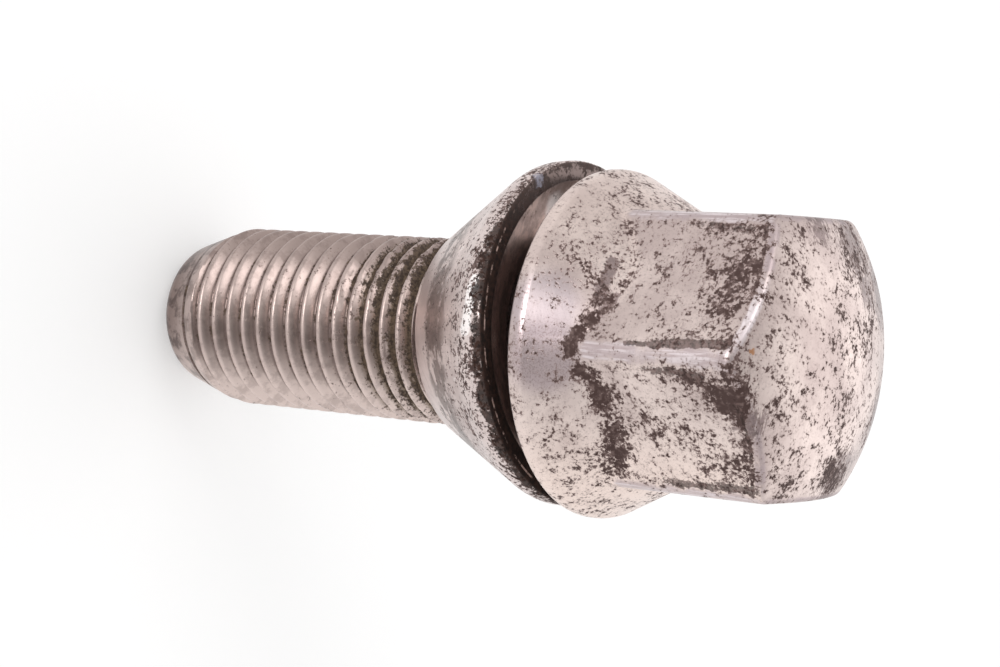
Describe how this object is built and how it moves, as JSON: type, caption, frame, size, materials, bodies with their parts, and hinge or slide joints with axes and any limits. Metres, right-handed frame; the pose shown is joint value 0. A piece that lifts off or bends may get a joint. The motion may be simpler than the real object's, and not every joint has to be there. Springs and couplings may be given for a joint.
{
  "type": "wheel bolt",
  "caption": "Wheel bolt with a domed hexagon head, a conical flange and a loose conical seat collar that swivels on a plain neck above a fine right-hand thread.",
  "frame": {"origin": "centre of the flat end face of the thread tip, on the bolt's axis", "axes": "+Z along the bolt's axis from the tip to the head's crown, a corner of the hexagon faces -Y, the collar leans towards -X"},
  "size_m": [0.0251, 0.0246, 0.0582],
  "materials": {
    "plated_steel": "worn bright plating, pitted dark",
    "plated_collar": "worn bright plating, pitted dark"
  },
  "bodies": {
    "bolt": {"bolt": "plated_steel"},
    "collar": {"seat_collar": "plated_collar"}
  },
  "joints": [
    {"name": "collar_swivel", "type": "hinge", "parent": "bolt", "child": "collar", "pos_m": [-0.0003, 0, 0.03219], "axis": [-0.0647, 0, 0.9979], "continuous": true}
  ]
}
